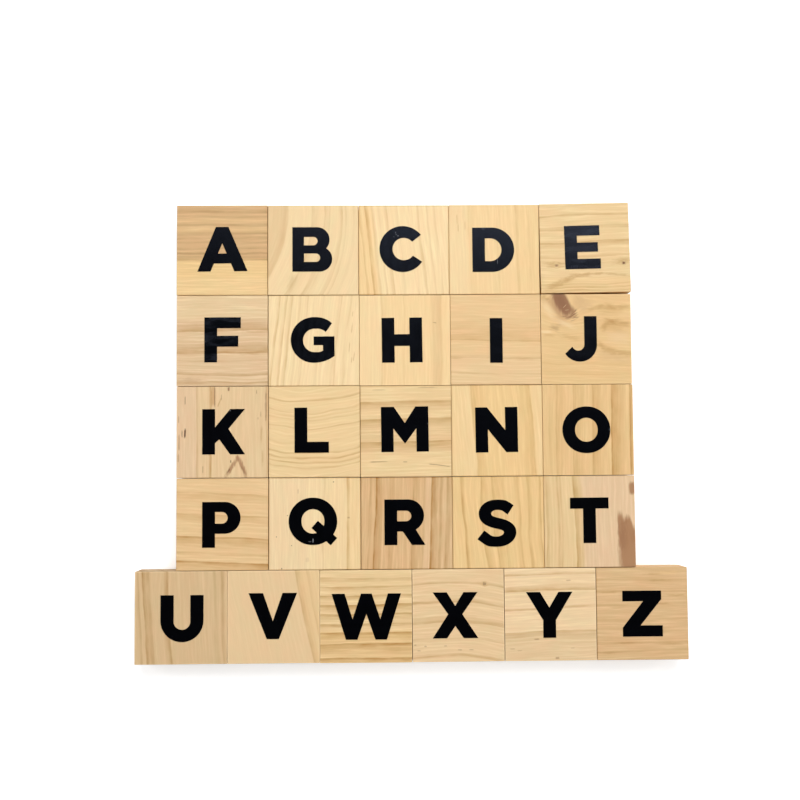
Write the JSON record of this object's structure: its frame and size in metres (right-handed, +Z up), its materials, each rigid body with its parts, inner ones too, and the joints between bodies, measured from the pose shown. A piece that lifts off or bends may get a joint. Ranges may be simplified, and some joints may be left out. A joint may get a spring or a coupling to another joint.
{
  "type": "alphabet letter tile set",
  "caption": "Square pine tiles with black vinyl letters, the whole alphabet, laid out in rows. Each tile is loose and lifts off by itself to spell words.",
  "frame": {"origin": "centre of the underside of the middle tile, M, on the table", "axes": "+X along the rows towards the end of the alphabet's rows, +Y towards the first row, +Z up"},
  "size_m": [0.3012, 0.2523, 0.0181],
  "materials": {
    "pine": "sanded, unfinished",
    "film": "satin black vinyl"
  },
  "bodies": {
    "tile_a": {"block_a": "pine", "letter_a": "film"},
    "tile_b": {"block_b": "pine", "letter_b": "film"},
    "tile_c": {"block_c": "pine", "letter_c": "film"},
    "tile_d": {"block_d": "pine", "letter_d": "film"},
    "tile_e": {"block_e": "pine", "letter_e": "film"},
    "tile_f": {"block_f": "pine", "letter_f": "film"},
    "tile_g": {"block_g": "pine", "letter_g": "film"},
    "tile_h": {"block_h": "pine", "letter_h": "film"},
    "tile_i": {"block_i": "pine", "letter_i": "film"},
    "tile_j": {"block_j": "pine", "letter_j": "film"},
    "tile_k": {"block_k": "pine", "letter_k": "film"},
    "tile_l": {"block_l": "pine", "letter_l": "film"},
    "tile_m": {"block_m": "pine", "letter_m": "film"},
    "tile_n": {"block_n": "pine", "letter_n": "film"},
    "tile_o": {"block_o": "pine", "letter_o": "film"},
    "tile_p": {"block_p": "pine", "letter_p": "film"},
    "tile_q": {"block_q": "pine", "letter_q": "film"},
    "tile_r": {"block_r": "pine", "letter_r": "film"},
    "tile_s": {"block_s": "pine", "letter_s": "film"},
    "tile_t": {"block_t": "pine", "letter_t": "film"},
    "tile_u": {"block_u": "pine", "letter_u": "film"},
    "tile_v": {"block_v": "pine", "letter_v": "film"},
    "tile_w": {"block_w": "pine", "letter_w": "film"},
    "tile_x": {"block_x": "pine", "letter_x": "film"},
    "tile_y": {"block_y": "pine", "letter_y": "film"},
    "tile_z": {"block_z": "pine", "letter_z": "film"}
  },
  "joints": [
    {"name": "lift_a", "type": "slide", "parent": "tile_m", "child": "tile_a", "axis": [0, 0, 1], "range_m": [0, 0.05]},
    {"name": "lift_b", "type": "slide", "parent": "tile_m", "child": "tile_b", "axis": [0, 0, 1], "range_m": [0, 0.05]},
    {"name": "lift_c", "type": "slide", "parent": "tile_m", "child": "tile_c", "axis": [0, 0, 1], "range_m": [0, 0.05]},
    {"name": "lift_d", "type": "slide", "parent": "tile_m", "child": "tile_d", "axis": [0, 0, 1], "range_m": [0, 0.05]},
    {"name": "lift_e", "type": "slide", "parent": "tile_m", "child": "tile_e", "axis": [0, 0, 1], "range_m": [0, 0.05]},
    {"name": "lift_f", "type": "slide", "parent": "tile_m", "child": "tile_f", "axis": [0, 0, 1], "range_m": [0, 0.05]},
    {"name": "lift_g", "type": "slide", "parent": "tile_m", "child": "tile_g", "axis": [0, 0, 1], "range_m": [0, 0.05]},
    {"name": "lift_h", "type": "slide", "parent": "tile_m", "child": "tile_h", "axis": [0, 0, 1], "range_m": [0, 0.05]},
    {"name": "lift_i", "type": "slide", "parent": "tile_m", "child": "tile_i", "axis": [0, 0, 1], "range_m": [0, 0.05]},
    {"name": "lift_j", "type": "slide", "parent": "tile_m", "child": "tile_j", "axis": [0, 0, 1], "range_m": [0, 0.05]},
    {"name": "lift_k", "type": "slide", "parent": "tile_m", "child": "tile_k", "axis": [0, 0, 1], "range_m": [0, 0.05]},
    {"name": "lift_l", "type": "slide", "parent": "tile_m", "child": "tile_l", "axis": [0, 0, 1], "range_m": [0, 0.05]},
    {"name": "lift_n", "type": "slide", "parent": "tile_m", "child": "tile_n", "axis": [0, 0, 1], "range_m": [0, 0.05]},
    {"name": "lift_o", "type": "slide", "parent": "tile_m", "child": "tile_o", "axis": [0, 0, 1], "range_m": [0, 0.05]},
    {"name": "lift_p", "type": "slide", "parent": "tile_m", "child": "tile_p", "axis": [0, 0, 1], "range_m": [0, 0.05]},
    {"name": "lift_q", "type": "slide", "parent": "tile_m", "child": "tile_q", "axis": [0, 0, 1], "range_m": [0, 0.05]},
    {"name": "lift_r", "type": "slide", "parent": "tile_m", "child": "tile_r", "axis": [0, 0, 1], "range_m": [0, 0.05]},
    {"name": "lift_s", "type": "slide", "parent": "tile_m", "child": "tile_s", "axis": [0, 0, 1], "range_m": [0, 0.05]},
    {"name": "lift_t", "type": "slide", "parent": "tile_m", "child": "tile_t", "axis": [0, 0, 1], "range_m": [0, 0.05]},
    {"name": "lift_u", "type": "slide", "parent": "tile_m", "child": "tile_u", "axis": [0, 0, 1], "range_m": [0, 0.05]},
    {"name": "lift_v", "type": "slide", "parent": "tile_m", "child": "tile_v", "axis": [0, 0, 1], "range_m": [0, 0.05]},
    {"name": "lift_w", "type": "slide", "parent": "tile_m", "child": "tile_w", "axis": [0, 0, 1], "range_m": [0, 0.05]},
    {"name": "lift_x", "type": "slide", "parent": "tile_m", "child": "tile_x", "axis": [0, 0, 1], "range_m": [0, 0.05]},
    {"name": "lift_y", "type": "slide", "parent": "tile_m", "child": "tile_y", "axis": [0, 0, 1], "range_m": [0, 0.05]},
    {"name": "lift_z", "type": "slide", "parent": "tile_m", "child": "tile_z", "axis": [0, 0, 1], "range_m": [0, 0.05]}
  ]
}
